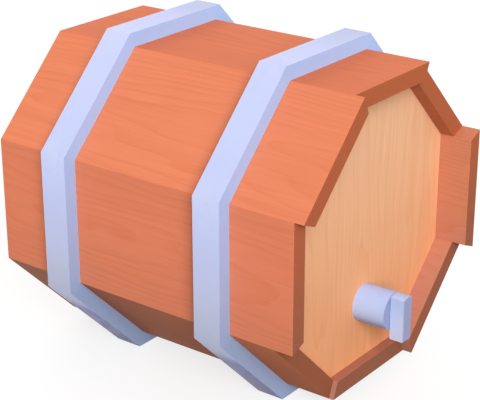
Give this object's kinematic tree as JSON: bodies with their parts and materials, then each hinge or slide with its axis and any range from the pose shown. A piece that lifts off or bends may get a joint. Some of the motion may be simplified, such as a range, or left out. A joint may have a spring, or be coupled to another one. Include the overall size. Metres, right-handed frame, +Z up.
{
  "type": "wooden sake barrel",
  "caption": "Straight-sided octagonal wooden cask lying on two thick metal hoops, with a recessed pale head and a small rotary tap.",
  "frame": {"origin": "on the resting surface, under the middle of the overall length and width", "axes": "+Y along the cask from the tap end to the plain end, +Z up, +X to the right seen from the tap end"},
  "size_m": [0.34, 0.3804, 0.34],
  "materials": {
    "stave_wood": "oiled red-brown softwood, satin",
    "head_wood": "pale planed softwood, satin",
    "dowel_bamboo": "plain split bamboo",
    "bung_wood": "turned softwood, plain",
    "hoop_metal": "satin, pale blue-grey",
    "tap_metal": "satin, pale blue-grey",
    "rivet_metal": "ground flush",
    "brass": "machined",
    "seal_rubber": "matt"
  },
  "bodies": {
    "cask": {"stave_top": "stave_wood", "stave_upper_right": "stave_wood", "stave_right": "stave_wood", "stave_lower_right": "stave_wood", "stave_bottom": "stave_wood", "stave_lower_left": "stave_wood", "stave_left": "stave_wood", "stave_upper_left": "stave_wood", "stave_dowels": "dowel_bamboo", "front_head_left": "head_wood", "front_head_middle": "head_wood", "front_head_right": "head_wood", "front_head_dowels": "dowel_bamboo", "rear_head_left": "head_wood", "rear_head_middle": "head_wood", "rear_head_right": "head_wood", "rear_head_dowels": "dowel_bamboo", "front_hoop": "hoop_metal", "front_hoop_splice": "hoop_metal", "front_hoop_rivets": "rivet_metal", "rear_hoop": "hoop_metal", "rear_hoop_splice": "hoop_metal", "rear_hoop_rivets": "rivet_metal", "tap_body": "tap_metal", "tap_shank": "brass", "tap_nut": "brass", "tap_washer": "brass", "tap_gasket": "seal_rubber"},
    "tap_handle": {"tap_plug": "brass", "tap_seals": "seal_rubber", "tap_lever": "tap_metal", "tap_lever_pin": "rivet_metal"},
    "bung": {"bung": "bung_wood"}
  },
  "joints": [
    {"name": "tap_turn", "type": "hinge", "parent": "cask", "child": "tap_handle", "pos_m": [0, -0.17475, 0.0925], "axis": [0, 1, 0], "range_deg": [0, 90]},
    {"name": "bung_pull", "type": "slide", "parent": "cask", "child": "bung", "axis": [0, 1, 0], "range_m": [0, 0.045]}
  ]
}
